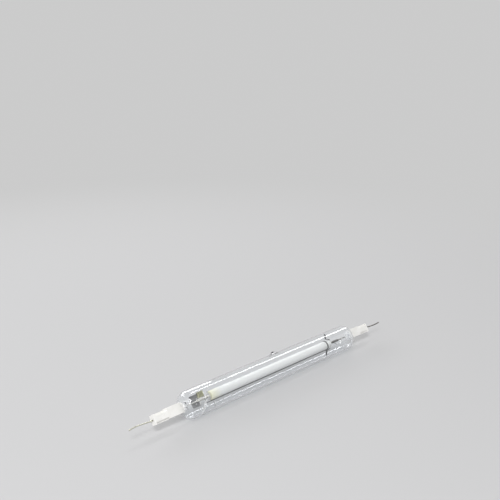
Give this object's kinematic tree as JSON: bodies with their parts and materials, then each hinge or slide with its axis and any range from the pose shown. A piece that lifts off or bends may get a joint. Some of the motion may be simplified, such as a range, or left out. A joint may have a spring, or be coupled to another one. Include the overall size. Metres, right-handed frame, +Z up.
{
  "type": "double-ended discharge lamp",
  "caption": "Long clear glass discharge lamp with a white arc tube inside and, at each end, a white ceramic cap with a stiff lead wire.",
  "frame": {"origin": "middle of the lamp on the bulb's axis", "axes": "+X along the lamp's axis towards the far end, +Z up with the lamp lying level and its flat caps rolled back 36 degrees from upright, so that their broad faces look forward and up; +Y away from the viewer"},
  "size_m": [0.427, 0.033, 0.033],
  "materials": {
    "quartz_glass": "clear polished",
    "cap_ceramic": "fine matt, pressed and fired",
    "cap_cement": "rough, cast",
    "lead_nickel": "bright drawn",
    "molybdenum": "drawn, grey",
    "spring_strip": "rolled strip",
    "niobium": "drawn tube, heat tinted",
    "tungsten": "drawn, dark",
    "arc_alumina": "translucent, sintered",
    "getter_metal": "pressed powder, olive grey"
  },
  "bodies": {
    "root": {"outer_envelope": "quartz_glass", "near_cap": "cap_ceramic", "far_cap": "cap_ceramic", "near_cap_cement": "cap_cement", "far_cap_cement": "cap_cement", "near_lead_wire": "lead_nickel", "far_lead_wire": "lead_nickel", "near_foil": "molybdenum", "far_foil": "molybdenum", "near_inner_lead": "molybdenum", "far_inner_lead": "molybdenum", "near_mount_plate": "spring_strip", "getter": "getter_metal", "near_wall_spring": "spring_strip", "near_centring_bar": "spring_strip", "far_centring_bar": "spring_strip", "near_feedthrough": "niobium", "far_feedthrough": "niobium", "arc_tube": "arc_alumina", "near_end_plug": "arc_alumina", "far_end_plug": "arc_alumina", "near_electrode": "tungsten", "far_electrode": "tungsten", "starting_wire": "molybdenum", "far_flex_strap": "spring_strip"}
  },
  "joints": []
}
